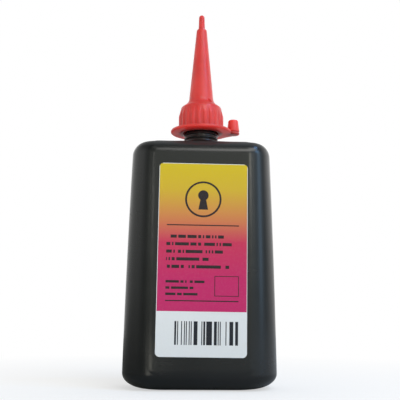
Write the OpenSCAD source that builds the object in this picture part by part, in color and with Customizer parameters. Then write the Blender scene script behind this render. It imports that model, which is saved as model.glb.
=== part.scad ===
// Flat bottle of graphite powder for locks, with a screw-on spout, a keeper ring and a parked tip cap.
// The origin is the middle of the base, +Z is up, and the labelled front faces -Y.

/* [Bottle body] */
// Width of the body at the table
body_w = 56.4; // [50:0.2:64]
// Width of the body at the shoulder
shoulder_w = 51.4; // [46:0.2:58]
// Depth of the body at the table, front to back
body_d = 29; // [26:0.5:34]
// Depth of the body at the shoulder
shoulder_d = 27; // [25:0.5:32]
// Height of the body, from the table to the rim of the shoulder
body_h = 90.4; // [75:0.2:110]
// Outward bow of the sides at half height
side_bow = 0.2; // [0.1:0.1:1]
// Radius of the upright corners at the base, seen from above
corner_r = 10.7; // [9:0.1:11.5]
// Radius of the upright corners at the shoulder
corner_top_r = 8.3; // [7.5:0.1:10]
// Height of the rounding between the base and the walls
base_round = 5.6; // [3:0.2:7.5]
// How far that rounding draws in the sides
base_side = 9; // [6:0.5:10]
// How far it draws in the front and back
base_front = 6.4; // [4:0.2:7]
// Radius of the foot's corners, seen from above
foot_r = 7; // [5:0.5:7.5]
// Rounding between the sides and the shoulder
shoulder_round = 5.5; // [3:0.5:7.5]
// Rise of the shoulder from its rim to the neck
shoulder_rise = 0.6; // [0.2:0.1:2]
// Thickness of the moulded wall
wall = 0.9; // [0.6:0.1:1.4]
// Height of the hollow under the base
push_up = 1.2; // [0.5:0.1:2.5]
// Width of the flat foot left around that hollow
foot_band = 4; // [2.5:0.5:6]

/* [Flat panels, front and back] */
// Width of a panel
panel_w = 35; // [33.5:0.5:36]
// How far a panel stands out from the corner curves
panel_step = 0.15; // [0.05:0.05:0.5]
// Height of a panel's lower edge
panel_low = 6; // [5:0.5:10]
// Drop from the rim of the shoulder to a panel's upper edge
panel_drop = 3.5; // [2:0.5:8]
// Radius of a panel's corners
panel_corner_r = 3.5; // [1:0.5:4]

/* [Neck] */
// Radius of the neck where it leaves the shoulder
neck_r = 6.4; // [5.8:0.1:6.6]
// Hollow rounding between the shoulder and the neck
neck_fillet = 1; // [0.5:0.1:1.2]
// Height of the neck above the shoulder
neck_h = 14.4; // [12:0.2:16]
// Radius of the bore through the neck
neck_bore_r = 4.9; // [4.4:0.1:5.2]
// Radius of the neck's core, under its thread
thread_core_r = 6; // [5.8:0.1:6.2]
// Radius of the collar below the thread
collar_r = 6.5; // [6.2:0.1:6.6]
// Height of the collar
collar_h = 1.7; // [1:0.1:2]
// Height of the collar's lower edge above the shoulder
collar_lift = 1.85; // [1.6:0.05:2.2]
// Depth and height of the groove under the collar
collar_groove = 0.3; // [0.1:0.1:0.5]
// Chamfer on the collar and on the rim of the neck
neck_chamfer = 0.3; // [0.1:0.1:0.5]

/* [Label] */
// Width of the label
label_w = 32.2; // [24:0.2:33]
// Height of the label
label_h = 69.2; // [40:0.2:72]
// Height of the label's lower edge, along the front panel
label_low = 11.7; // [9:0.1:14]
// Offset of the label to the right of the panel's middle
label_shift = 0.3; // [-1:0.1:1]
// Angle at which the label was stuck on, clockwise
label_tilt = 0.5; // [-1:0.1:1]
// Radius of the label's corners
label_corner_r = 1.6; // [0.5:0.1:4]
// Thickness of the label
label_t = 0.1; // [0.05:0.01:0.15]

/* [Graphite powder] */
// Level of the powder above the table
powder_level = 62; // [20:1:75]

/* [Spout] */
// Inner radius of the threaded skirt
skirt_bore_r = 6.95; // [6.8:0.05:7]
// Outer radius of the skirt between its ribs
skirt_r = 7.9; // [7.7:0.05:8]
// Outer radius of the ribs
rib_top_r = 8.65; // [8.3:0.05:8.9]
// Number of grip ribs
rib_count = 22; // [12:1:24]
// Radius of one rib's rounded back
rib_r = 0.85; // [0.7:0.05:0.9]
// Height at which the ribs start above the skirt's lower edge
rib_lift = 0.25; // [0.1:0.05:1]
// Height of the sloped upper end of a rib
rib_slope = 2.2; // [1:0.1:4]
// Outer radius of the bead at the foot of the skirt
foot_bead_r = 8.25; // [8:0.05:8.5]
// Height of that bead
foot_bead_h = 0.7; // [0.5:0.1:0.8]
// Chamfer around the foot of the skirt
foot_chamfer = 0.15; // [0.05:0.05:0.3]
// Radius of the groove that carries the keeper ring
groove_r = 7.55; // [7.45:0.05:7.6]
// Rounding of the skirt's upper edge
skirt_round = 1.2; // [0.6:0.1:1.6]
// Drop from the roof over the neck to the start of that rounding
skirt_drop = 0.6; // [0.3:0.1:1]
// Radius of the cone at its lower end
cone_base_r = 4.7; // [4.2:0.05:5]
// Radius of the cone at its upper end
cone_top_r = 2; // [1.7:0.05:2.2]
// Height of the cone
cone_h = 28.3; // [18:0.1:36]
// Hollow rounding between the sloping shoulder and the cone
cone_fillet = 2; // [0.5:0.1:3]
// Wall of the cone
cone_wall = 1.05; // [0.9:0.05:1.15]
// Radius of the nipple where it leaves the cone
nipple_r = 1.25; // [1:0.05:1.3]
// Radius of the nipple's closed end
nipple_end_r = 1.1; // [0.9:0.05:1.2]
// Length of the nipple above the cone
nipple_h = 6.5; // [5:0.1:8]
// Height of the sloping step from the cone to the nipple
step_h = 0.8; // [0.4:0.1:1.5]
// Wall around the channel in the nipple
nipple_wall = 0.5; // [0.4:0.05:0.6]
// Length of the sealing plug inside the neck
plug_h = 3.2; // [2:0.1:4]
// Wall of the sealing plug
plug_wall = 1; // [0.7:0.1:1.2]

/* [Keeper ring] */
// Outer radius of the ring
ring_r = 11.7; // [10.5:0.1:13]
// Thickness of the ring
ring_t = 1.1; // [0.8:0.1:1.6]
// Distance of the parking peg from the neck's axis
ear_reach = 12.7; // [11.5:0.1:15]
// Angle of that peg behind the +X direction
ear_turn = 6; // [-20:1:20]
// Radius of the round ear under the tip cap
ear_r = 2.4; // [2.2:0.1:3]
// Thickness of the web that stiffens the ear behind
web_t = 0.6; // [0.4:0.1:0.8]
// Radius of that web's root on the ring
web_root_r = 2; // [1.5:0.1:2.5]
// Inset of the web from the rims of the ring and the ear
web_inset = 0.1; // [0.05:0.05:0.2]
// Rounding of the ring's rim
rim_round = 0.45; // [0.2:0.05:0.5]
// Height of the parking peg
peg_h = 2.6; // [1.5:0.1:3.2]

/* [Tip cap] */
// Outer radius of the tip cap at its mouth
tip_cap_r = 2.4; // [1.9:0.05:2.5]
// Outer radius of the tip cap at its closed end
tip_cap_end_r = 1.95; // [1.8:0.05:2.1]
// Height of the tip cap
tip_cap_h = 4.7; // [4.2:0.1:6]
// Rounding of the tip cap's closed end
tip_cap_round = 0.7; // [0.2:0.05:0.8]
// Wall over the end of the tip cap's bore
tip_cap_end_wall = 0.9; // [0.6:0.1:1]

/* [Clearances] */
// Gap between a turning or sliding piece and its seat
run_gap = 0.08; // [0.05:0.01:0.1]
// Gap between the collar of the neck and the foot of the skirt
foot_gap = 0.3; // [0.2:0.05:0.5]
// Gap under the label, and around the powder
skin_gap = 0.02; // [0.01:0.01:0.05]

/* [Hidden] */

$fn = 64;
// Steps along a quarter of a rounded edge, and around a hulled corner
round_steps = 6;
hull_fn = 32;
// Overshoot that makes a cut pass clean through a face
cut = 0.5;
// Thickness of a slice or plate that a hull spans
thin = 0.1;

// Lean of the front and back panels from the vertical
lean = atan((body_d - shoulder_d) / 2 / body_h);
// Lowest and highest levels of the neck, and the stack of pieces on it
neck_z = body_h + shoulder_rise;
neck_top = neck_z + neck_h;
collar_z = neck_z + collar_lift;
collar_top = collar_z + collar_h;
foot_z = collar_top + foot_gap;
groove_z = foot_z + foot_bead_h;
ring_z = groove_z + run_gap;
ring_top = ring_z + ring_t;
skirt_z = ring_top + run_gap;
roof_z = neck_top + run_gap;
// Level where the skirt's upper edge starts to round over, and the end of that rounding at 45 degrees
skirt_edge_z = roof_z - skirt_drop;
slope_z = skirt_edge_z + skirt_round * sin(45);
slope_r = skirt_r - skirt_round + skirt_round * cos(45);
// Lean of the cone's side, and the cone's ends: its fillet is tangent to the shoulder's 45-degree slope
cone_lean = atan((cone_base_r - cone_top_r) / cone_h);
cone_z = slope_z + slope_r - cone_base_r + cone_fillet * (2 * sin(45) - sin(cone_lean) - cos(cone_lean));
cone_top = cone_z + cone_h;
tip_z = cone_top + nipple_h;
// The plug fits the neck's bore, and the nipple and the peg both fit the tip cap's bore
plug_r = neck_bore_r - run_gap;
plug_z = roof_z - plug_h;
cap_bore_r = nipple_r + run_gap;
tip_cap_z = ring_top + run_gap;
// Floor of the inside, over the hollow under the base
floor_z = push_up + wall;

function half_w(z) = (body_w + (shoulder_w - body_w) * z / body_h) / 2;
function half_d(z) = (body_d + (shoulder_d - body_d) * z / body_h) / 2;

// Points on an arc in a profile, from one angle to another
function arc(centre, r, from, to) = [
    for (i = [0 : round_steps])
        let (a = from + (to - from) * i / round_steps)
        centre + r * [cos(a), sin(a)]
];

// Corner puck with its lower edge rounded, from the rounding's centre downwards
module puck(r, edge) {
    rotate_extrude($fn = hull_fn)
        polygon(concat([[0, 0]], arc([r - edge, 0], edge, 0, -90), [[0, -edge]]));
}

// Frame on the front face: x to the right, y up along the face, z outwards
module on_front() {
    translate([0, -body_d / 2, 0])
        rotate([90 - lean, 0, 0])
            children();
}

// Corners of a front panel, which a hull joins into the flat face
module panel_corners(inset) {
    on_front()
        for (side = [-1, 1], level = [panel_low + panel_corner_r, body_h - panel_drop - panel_corner_r])
            translate([side * (panel_w / 2 - panel_corner_r), level, -inset - thin])
                cylinder(r = panel_corner_r, h = thin, $fn = hull_fn);
}

// Four places around the axis for the upright corners at one level, each corner of the given radius
module at_corners(level, r, bow) {
    for (x = [-1, 1], y = [-1, 1])
        translate([x * (half_w(level) + bow - r), y * (half_d(level) - panel_step - r), level])
            children();
}

// Slices of the base's corners, drawn in as they round over, further at the sides than at the front and back
module base_corners(inset, low) {
    for (i = [0 : round_steps]) {
        a = 90 * i / round_steps;
        share = 1 - cos(a);
        r = corner_r + (foot_r - corner_r) * share - inset;
        reach_x = half_w(base_round) - inset - (base_side - inset) * share - r;
        reach_y = half_d(base_round) - panel_step - inset - (base_front - inset) * share - r;
        for (x = [-1, 1], y = [-1, 1])
            translate([x * reach_x, y * reach_y, low + (base_round - inset) * (1 - sin(a))])
                cylinder(r = r, h = thin, $fn = hull_fn);
    }
}

// Rounded, tapering body between two levels, drawn in by a wall thickness
module body_form(inset, low, high) {
    high_edge = shoulder_round - inset;
    middle_r = (corner_r + corner_top_r) / 2;
    root_r = neck_r + neck_fillet;
    hull() {
        base_corners(inset, low);
        at_corners(body_h / 2, middle_r, side_bow)
            cylinder(r = middle_r - inset, h = thin, $fn = hull_fn);
        at_corners(high - high_edge, corner_top_r, 0)
            mirror([0, 0, 1])
                puck(corner_top_r - inset, high_edge);
        for (side = [0, 1])
            mirror([0, side, 0])
                panel_corners(inset);
        translate([0, 0, high])
            cylinder(r1 = root_r + neck_fillet, r2 = root_r, h = shoulder_rise, $fn = hull_fn);
    }
}

// Hollow under the base, inside the foot that the bottle stands on
module base_hollow() {
    length = half_w(0) - base_side - foot_band;
    depth = half_d(0) - base_front - foot_band;
    hull()
        for (side = [-1, 1])
            translate([side * (length - depth), 0, -cut])
                cylinder(r1 = depth + cut, r2 = depth - push_up, h = push_up + cut, $fn = hull_fn);
}

// Solid neck with its root fillet, groove, collar and threaded core
module neck_form() {
    rotate_extrude()
        polygon(concat(
            [[0, neck_z - wall], [neck_r + neck_fillet, neck_z - wall]],
            arc([neck_r + neck_fillet, neck_z + neck_fillet], neck_fillet, 270, 180),
            [[neck_r, collar_z - collar_groove],
             [neck_r - collar_groove, collar_z - collar_groove],
             [neck_r - collar_groove, collar_z],
             [collar_r, collar_z],
             [collar_r, collar_top - neck_chamfer],
             [thread_core_r, collar_top],
             [thread_core_r, neck_top - neck_chamfer],
             [thread_core_r - neck_chamfer, neck_top],
             [0, neck_top]]));
}

// Blow-moulded bottle: an open shell with its neck
module bottle() {
    color("#1f2022")
        difference() {
            union() {
                body_form(0, 0, body_h);
                neck_form();
            }
            body_form(wall, floor_z, body_h - wall);
            translate([0, 0, body_h - wall - cut])
                cylinder(r = neck_bore_r, h = neck_top - body_h + wall + 2 * cut);
            base_hollow();
        }
}

// Self-adhesive label on the front panel
module label() {
    inner_w = label_w - 2 * label_corner_r;
    inner_h = label_h - 2 * label_corner_r;
    color("#f0a53c")
        on_front()
            translate([label_shift, label_low + label_h / 2, skin_gap])
                rotate([0, 0, -label_tilt])
                    linear_extrude(label_t) {
                        square([label_w, inner_h], center = true);
                        square([inner_w, label_h], center = true);
                        for (x = [-1, 1], y = [-1, 1])
                            translate([x * inner_w / 2, y * inner_h / 2])
                                circle(label_corner_r);
                    }
}

// Settled powder, which fills the shell up to its level
module graphite_powder() {
    color("#4a4b50")
        intersection() {
            body_form(wall + skin_gap, floor_z + skin_gap, body_h - wall - skin_gap);
            translate([-body_w / 2, -body_d / 2, 0])
                cube([body_w, body_d, powder_level]);
        }
}

// Outside of the spout without its ribs, from the foot bead to the closed tip
module spout_form() {
    fillet_centre = [cone_base_r, cone_z] + cone_fillet * [cos(cone_lean), sin(cone_lean)];
    end_z = tip_z - nipple_end_r;
    rotate_extrude()
        polygon(concat(
            [[0, foot_z], [foot_bead_r - foot_chamfer, foot_z], [foot_bead_r, foot_z + foot_chamfer],
             [foot_bead_r, groove_z], [groove_r, groove_z], [groove_r, skirt_z], [skirt_r, skirt_z]],
            arc([skirt_r - skirt_round, skirt_edge_z], skirt_round, 0, 45),
            arc(fillet_centre, cone_fillet, 225, 180 + cone_lean),
            [[cone_top_r, cone_top], [nipple_r, cone_top + step_h]],
            arc([0, end_z], nipple_end_r, 0, 90)));
}

// Grip ribs around the skirt, rounded on their backs and sloped off at their upper ends
module grip_ribs() {
    rib_z = skirt_z + rib_lift;
    intersection() {
        for (i = [0 : rib_count - 1])
            rotate([0, 0, i * 360 / rib_count])
                translate([rib_top_r - rib_r, 0, rib_z])
                    cylinder(r = rib_r, h = skirt_edge_z - rib_z);
        rotate_extrude()
            polygon([[groove_r, rib_z - cut], [rib_top_r + cut, rib_z - cut],
                     [rib_top_r + cut, skirt_edge_z - rib_slope], [groove_r, skirt_edge_z]]);
    }
}

// Threaded hollow of the skirt around the neck, leaving the sealing plug
module skirt_hollow() {
    rotate_extrude()
        polygon([[plug_r, foot_z - cut], [skirt_bore_r, foot_z - cut],
                 [skirt_bore_r, roof_z], [plug_r, roof_z]]);
    translate([0, 0, foot_z - cut])
        cylinder(r = plug_r + cut, h = plug_z - foot_z + cut);
}

// Channel for the powder, from the plug up to the closed nipple
module powder_channel() {
    rotate_extrude()
        polygon([[0, plug_z - cut], [plug_r - plug_wall, plug_z - cut], [plug_r - plug_wall, roof_z],
                 [cone_base_r - cone_wall, cone_z], [cone_top_r - cone_wall, cone_top - step_h],
                 [nipple_end_r - nipple_wall, cone_top], [nipple_end_r - nipple_wall, tip_z - nipple_end_r],
                 [0, tip_z - nipple_end_r]]);
}

// Spout moulded in one piece: ribbed screw cap, cone and nipple
module spout_cap() {
    color("#d4443f")
        difference() {
            union() {
                spout_form();
                grip_ribs();
            }
            skirt_hollow();
            powder_channel();
        }
}

// Flat disc with a rounded rim, for the ring and for its ear
module rounded_disc(r) {
    flat = ring_t / 2 - rim_round;
    rotate_extrude()
        polygon(concat([[0, -ring_t / 2]],
                       arc([r - rim_round, -flat], rim_round, -90, 0),
                       arc([r - rim_round, flat], rim_round, 0, 90),
                       [[0, ring_t / 2]]));
}

// Thin web behind the ear, straight from the ring's rim to the ear's
module ear_web() {
    translate([0, 0, -web_t / 2])
        hull() {
            rotate([0, 0, acos((ring_r - ear_r) / ear_reach)])
                translate([ring_r - web_inset - web_root_r, 0, 0])
                    cylinder(r = web_root_r, h = web_t);
            translate([ear_reach, 0, 0])
                cylinder(r = ear_r - web_inset, h = web_t);
        }
}

// Ring in the skirt's groove, with a round ear and a peg that parks the tip cap
module keeper_ring() {
    color("#c93b37")
        rotate([0, 0, ear_turn]) {
            difference() {
                translate([0, 0, ring_z + ring_t / 2]) {
                    rounded_disc(ring_r);
                    translate([ear_reach, 0, 0])
                        rounded_disc(ear_r);
                    ear_web();
                }
                translate([0, 0, ring_z - cut])
                    cylinder(r = groove_r + run_gap, h = ring_t + 2 * cut);
            }
            translate([ear_reach, 0, ring_top - cut])
                cylinder(r = cap_bore_r - run_gap, h = peg_h + cut);
        }
}

// Small cap that closes the nipple once it has been cut open
module tip_cap() {
    end_z = tip_cap_z + tip_cap_h;
    color("#dc4b45")
        rotate([0, 0, ear_turn])
            translate([ear_reach, 0, 0])
                rotate_extrude()
                    polygon(concat(
                        [[cap_bore_r, tip_cap_z], [tip_cap_r, tip_cap_z]],
                        arc([tip_cap_end_r - tip_cap_round, end_z - tip_cap_round], tip_cap_round, 0, 90),
                        [[0, end_z], [0, end_z - tip_cap_end_wall], [cap_bore_r, end_z - tip_cap_end_wall]]));
}

bottle();
label();
graphite_powder();
spout_cap();
keeper_ring();
tip_cap();
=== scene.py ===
import math

import bpy
from mathutils import Matrix, Vector, geometry, noise


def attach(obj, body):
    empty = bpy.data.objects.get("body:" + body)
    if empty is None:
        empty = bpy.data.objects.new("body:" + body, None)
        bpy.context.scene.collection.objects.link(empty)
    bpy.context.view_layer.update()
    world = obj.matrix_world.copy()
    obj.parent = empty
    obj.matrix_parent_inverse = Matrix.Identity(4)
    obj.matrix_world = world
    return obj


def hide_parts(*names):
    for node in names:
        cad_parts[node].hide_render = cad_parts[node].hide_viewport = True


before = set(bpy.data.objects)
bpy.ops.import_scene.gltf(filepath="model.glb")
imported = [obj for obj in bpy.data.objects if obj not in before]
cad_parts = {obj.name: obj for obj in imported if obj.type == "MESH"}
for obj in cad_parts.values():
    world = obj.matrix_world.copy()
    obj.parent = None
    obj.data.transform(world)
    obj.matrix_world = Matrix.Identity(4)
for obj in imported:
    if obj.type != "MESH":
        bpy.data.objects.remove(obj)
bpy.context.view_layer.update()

# Bottle shell: extrusion blow-moulded from black high-density polyethylene, with a flat panel front and
# back, a mould parting line up each side and a pinch-off seam under the base. The neck is calibrated in
# the mould, with a collar and a right-hand thread that the spout screws on.
MM = 0.001
BODY_W, SHOULDER_W = 56.4, 51.4
BODY_D, SHOULDER_D = 29.0, 27.0
BODY_H, SHOULDER_RISE = 90.4, 0.6
SIDE_BOW, BOW_REACH = 0.2, 40.0
CORNER_R, CORNER_TOP_R = 10.7, 8.3
BASE_ROUND, BASE_SIDE, BASE_FRONT, FOOT_R = 5.6, 9.0, 6.4, 7.0
SHOULDER_ROUND = 5.5
WALL = 0.9
PUSH_UP, FOOT_BAND = 1.2, 4.0
SEAM_INSET, SEAM_HALF, SEAM_DROP = 3.2, 0.12, 0.2
SEAM_ROOT_INSET, SEAM_ROOT_HALF = 3.0, 0.35
PANEL_W, PANEL_STEP = 35.0, 0.15
PANEL_LOW, PANEL_DROP, PANEL_CORNER_R = 6.0, 3.0, 2.4
PANEL_CREASE, PANEL_END_INSET, PANEL_END_H = 0.75, 0.8, 1.6
CREASE_SHARE, CREASE_SOFT_LOW, CREASE_SOFT_TOP, CREASE_SAMPLES = 0.8, 1.4, 2.3, 8
NECK_Z = BODY_H + SHOULDER_RISE
NECK_R, NECK_FILLET, NECK_H = 6.4, 1.0, 14.4
NECK_TOP = NECK_Z + NECK_H
NECK_BORE_R, THREAD_CORE_R = 4.9, 6.0
COLLAR_R, COLLAR_H, COLLAR_LIFT = 6.5, 1.7, 1.85
COLLAR_Z = NECK_Z + COLLAR_LIFT
COLLAR_TOP = COLLAR_Z + COLLAR_H
STOP_TOP = COLLAR_TOP + 0.8
MOUTH_EDGE = 0.3
THREAD_PITCH, THREAD_HEIGHT, THREAD_W = 3.0, 0.75, 1.25
THREAD_RUN_IN, THREAD_FLANK = 0.1, 0.4
THREAD_Z, THREAD_TURNS, THREAD_RINGS = COLLAR_TOP + 2.1, 2.45, 66
PARTING_RIDGE = 0.05
PARTING_STEPS = ((0, 0), (0.4, 0), (0.75, 0), (0.92, 0), (0.955, 0.1), (0.98, 0.9), (1, 1))
FLAT_STEPS, CREASE_STEPS, SLOPE_STEPS, CORNER_STEPS = 8, 6, 4, 24
SIDES = 4 * (FLAT_STEPS + CREASE_STEPS + SLOPE_STEPS + CORNER_STEPS + len(PARTING_STEPS) - 1)
SLOT_STEPS = SIDES // 8
EDGE_STEPS, INNER_EDGE_STEPS = 28, 8
BODY_LEVELS = (6.0, 6.4, 6.8, 7.3, 7.9, 8.5, 9.5, 11, 13, *range(16, 80, 4),
               80, 81, 82, 82.6, 83.2, 83.8, 84.4)
INNER_LEVELS = (75, 60, 45, 30, 15)


def lerp(a, b, t):
    return a + (b - a) * t


def smooth(t):
    t = min(1.0, max(0.0, t))
    return t * t * (3 - 2 * t)


def half_w(z):
    return lerp(BODY_W, SHOULDER_W, min(max(z, BASE_ROUND), BODY_H - SHOULDER_ROUND) / BODY_H) / 2


def half_d(z):
    return lerp(BODY_D, SHOULDER_D, z / BODY_H) / 2


def edge_bevel(z, side, panel_z, edge_z, reach, rise):
    """Depth of the front beyond a panel's end: a bevel that runs tangent into the rounded edge of the body."""
    cy = half_d(edge_z) - PANEL_STEP - reach
    dy, dz = half_d(panel_z) - cy, (panel_z - edge_z) * reach / rise
    touch = math.atan2(dz, dy) + side * math.acos(min(1.0, reach / math.hypot(dy, dz)))
    touch_z = edge_z + rise * math.sin(touch)
    if (z - touch_z) * side < 0:
        return lerp(half_d(panel_z), cy + reach * math.cos(touch), (z - panel_z) / (touch_z - panel_z))
    return cy + reach * math.sqrt(max(0.0, 1 - ((z - edge_z) / rise) ** 2))


def sharp_depth(z):
    top = BODY_H - PANEL_DROP
    if z > top:
        return edge_bevel(z, 1, top, BODY_H - SHOULDER_ROUND, SHOULDER_ROUND, SHOULDER_ROUND)
    if z < PANEL_LOW:
        return edge_bevel(z, -1, PANEL_LOW, BASE_ROUND, BASE_FRONT, BASE_ROUND)
    return half_d(z)


def front_depth(z):
    """Depth of the front at one level, with the panel's upper and lower creases rounded off."""
    lower = z < BODY_H / 2
    crease, soft = (PANEL_LOW, CREASE_SOFT_LOW) if lower else (BODY_H - PANEL_DROP, CREASE_SOFT_TOP)
    reach = soft * (1 - smooth((abs(z - crease) - soft) / soft))
    if reach <= 0:
        return sharp_depth(z)
    offsets = [reach * i / CREASE_SAMPLES for i in range(-CREASE_SAMPLES, CREASE_SAMPLES + 1)]
    return sum(sharp_depth(min(BODY_H, max(0.0, z + offset))) for offset in offsets) / len(offsets)


def panel_half(z, straight):
    """Half width of the flat front at one level, narrowed by the panel's rounded corners."""
    low, high = PANEL_LOW + PANEL_CORNER_R, BODY_H - PANEL_DROP - PANEL_CORNER_R
    past = max(low - z, z - high, 0.0)
    if past <= PANEL_CORNER_R:
        return PANEL_W / 2 - PANEL_CORNER_R + math.sqrt(PANEL_CORNER_R ** 2 - past ** 2)
    share = min(1.0, (past - PANEL_CORNER_R) / PANEL_END_H)
    return lerp(PANEL_W / 2 - PANEL_CORNER_R, straight - PANEL_END_INSET, share)


def around(quarter):
    """Whole outline from its front right quarter, which runs from the front middle to the right middle."""
    right = quarter + [(x, -y) for x, y in quarter[-2::-1]]
    return right + [(-x, y) for x, y in right[-2:0:-1]]


def body_outline(z, draw_x, draw_y, draw_r, front, ridge=0.0):
    """One level of the body, drawn in by the given lengths: flat panel, soft crease, corner and side."""
    low, high = BASE_ROUND, BODY_H - SHOULDER_ROUND
    level = min(max(z, low), high)
    bow = SIDE_BOW * max(0.0, 1 - ((z - BODY_H / 2) / BOW_REACH) ** 2)
    a, b = half_w(z) + bow - draw_x, half_d(level) - PANEL_STEP - draw_y
    r = lerp(CORNER_R, CORNER_TOP_R, (level - low) / (high - low)) - draw_r
    cx, cy = a - r, r - b
    ex, ey = panel_half(z, cx), -max(front, b)
    start = math.atan2(ey - cy, ex - cx) + math.acos(min(1.0, r / math.hypot(ex - cx, ey - cy)))
    tx, ty = cx + r * math.cos(start), cy + r * math.sin(start)
    run = math.hypot(tx - ex, ty - ey)
    c = min(PANEL_CREASE, CREASE_SHARE * run)
    bx, by = lerp(ex, tx, c / run), lerp(ey, ty, c / run)
    points = [((ex - c) * i / FLAT_STEPS, ey) for i in range(FLAT_STEPS)]
    for i in range(CREASE_STEPS):
        t = i / CREASE_STEPS
        points.append((lerp(lerp(ex - c, ex, t), lerp(ex, bx, t), t), lerp(ey, lerp(ey, by, t), t)))
    points += [(lerp(bx, tx, i / SLOPE_STEPS), lerp(by, ty, i / SLOPE_STEPS)) for i in range(SLOPE_STEPS)]
    for i in range(CORNER_STEPS):
        turn = start * (1 - i / CORNER_STEPS)
        points.append((cx + r * math.cos(turn), cy + r * math.sin(turn)))
    for share, lift in PARTING_STEPS:
        points.append((a + lift * ridge, cy * (1 - share)))
    return around(points)


def base_level(i, steps, wall, low):
    """One level of the rounded base, from the foot up, for the skin at a depth in the wall."""
    t = math.radians(90 - 90 * i / steps)
    share = 1 - math.cos(t)
    z = low + (BASE_ROUND - wall) * (1 - math.sin(t))
    draw_x, draw_y = (wall + (reach - wall) * share for reach in (BASE_SIDE, BASE_FRONT))
    draw_r = wall + (CORNER_R - FOOT_R) * share
    front, ridge = (0, 0) if wall else (front_depth(z), PARTING_RIDGE)
    return at_level(body_outline(min(z, BASE_ROUND), draw_x, draw_y, draw_r, front, ridge), z)


def shoulder_level(i, steps, wall):
    """One level of the rounded shoulder, from the sides up, for the skin at a depth in the wall."""
    t = math.radians(90 * i / steps)
    edge = SHOULDER_ROUND - wall
    z = BODY_H - wall - edge * (1 - math.sin(t))
    inset = wall + edge * (1 - math.cos(t))
    ridge = 0 if wall else PARTING_RIDGE
    return at_level(body_outline(z, inset, inset, inset, front_depth(z) - wall, ridge), z)


def slot_outline(half_length, half_depth):
    """Outline with straight long sides and round ends."""
    straight = half_length - half_depth
    points = [(straight * i / SLOT_STEPS, -half_depth) for i in range(SLOT_STEPS)]
    for i in range(SLOT_STEPS + 1):
        a = math.radians(90 * i / SLOT_STEPS - 90)
        points.append((straight + half_depth * math.cos(a), half_depth * math.sin(a)))
    return around(points)


def circle(r, sides=SIDES):
    return [(r * math.sin(math.tau * i / sides), -r * math.cos(math.tau * i / sides)) for i in range(sides)]


def at_level(outline, z):
    return [(x, y, z) for x, y in outline]


def helix_ridge(angle, z, start_z, turns, width):
    """Height from 0 to 1 of a right-hand thread's ridge at one angle and level."""
    lead = angle / math.tau
    turn = round((z - start_z) / THREAD_PITCH - lead) + lead
    off = abs(z - start_z - turn * THREAD_PITCH)
    ends = smooth(turn / THREAD_RUN_IN) * smooth((turns - turn) / THREAD_RUN_IN)
    return ends * smooth((width / 2 - off) / (THREAD_FLANK * width))


def arc(cx, cy, r, start, end, steps):
    turn = [math.radians(lerp(start, end, i / steps)) for i in range(steps + 1)]
    return [(cx + r * math.cos(a), cy + r * math.sin(a)) for a in turn]


def loft(name, rings, sharp=35, wrap=False):
    """Closed skin over rings in millimetres. A ring of one point closes an end, and other ends are capped."""
    verts, faces, starts = [], [], []
    for ring in rings:
        starts.append(len(verts))
        verts += [Vector(p) * MM for p in ring]
    pairs = list(zip(range(len(rings)), range(1, len(rings)))) + ([(len(rings) - 1, 0)] if wrap else [])
    for low, high in pairs:
        n, a, b = max(len(rings[low]), len(rings[high])), starts[low], starts[high]
        for i in range(n):
            j = (i + 1) % n
            if len(rings[low]) == 1:
                faces.append((a, b + j, b + i))
            elif len(rings[high]) == 1:
                faces.append((a + i, a + j, b))
            else:
                faces.append((a + i, a + j, b + j, b + i))
    if not wrap and len(rings[0]) > 1:
        faces.append(tuple(starts[0] + i for i in reversed(range(len(rings[0])))))
    if not wrap and len(rings[-1]) > 1:
        faces.append(tuple(starts[-1] + i for i in range(len(rings[-1]))))
    mesh = bpy.data.meshes.new(name)
    mesh.from_pydata(verts, [], faces)
    mesh.validate()
    mesh.shade_smooth()
    mesh.set_sharp_from_angle(angle=math.radians(sharp))
    piece = bpy.data.objects.new(name, mesh)
    bpy.context.scene.collection.objects.link(piece)
    return piece


foot_l, foot_d = BODY_W / 2 - BASE_SIDE - FOOT_BAND, BODY_D / 2 - BASE_FRONT - FOOT_BAND
bottle_rings = [at_level(slot_outline(foot_l - SEAM_INSET, SEAM_HALF), PUSH_UP - SEAM_DROP),
                at_level(slot_outline(foot_l - SEAM_ROOT_INSET, SEAM_ROOT_HALF), PUSH_UP)]
# The hollow under the base, from its roof down to the foot: how far the outline grows, and its level
for grow, z in ((-PUSH_UP - 0.3, PUSH_UP), (-PUSH_UP, PUSH_UP - 0.1), (-0.2, 0.2), (0.15, 0.0)):
    bottle_rings.append(at_level(slot_outline(foot_l + grow, foot_d + grow), z))
bottle_rings += [base_level(i, EDGE_STEPS, 0, 0) for i in range(EDGE_STEPS + 1)]
for z in BODY_LEVELS:
    bottle_rings.append(at_level(body_outline(z, 0, 0, 0, front_depth(z), PARTING_RIDGE), z))
bottle_rings += [shoulder_level(i, EDGE_STEPS, 0) for i in range(EDGE_STEPS + 1)]
rim = bottle_rings[-1]
root = circle(NECK_R + NECK_FILLET)
for t in (0.2, 0.4, 0.6, 0.8):
    bottle_rings.append([(lerp(p[0], q[0], t), lerp(p[1], q[1], t), BODY_H + SHOULDER_RISE * smooth(t))
                         for p, q in zip(rim, root)])
neck_profile = arc(NECK_R + NECK_FILLET, NECK_Z + NECK_FILLET, NECK_FILLET, 270, 180, 8)
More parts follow.
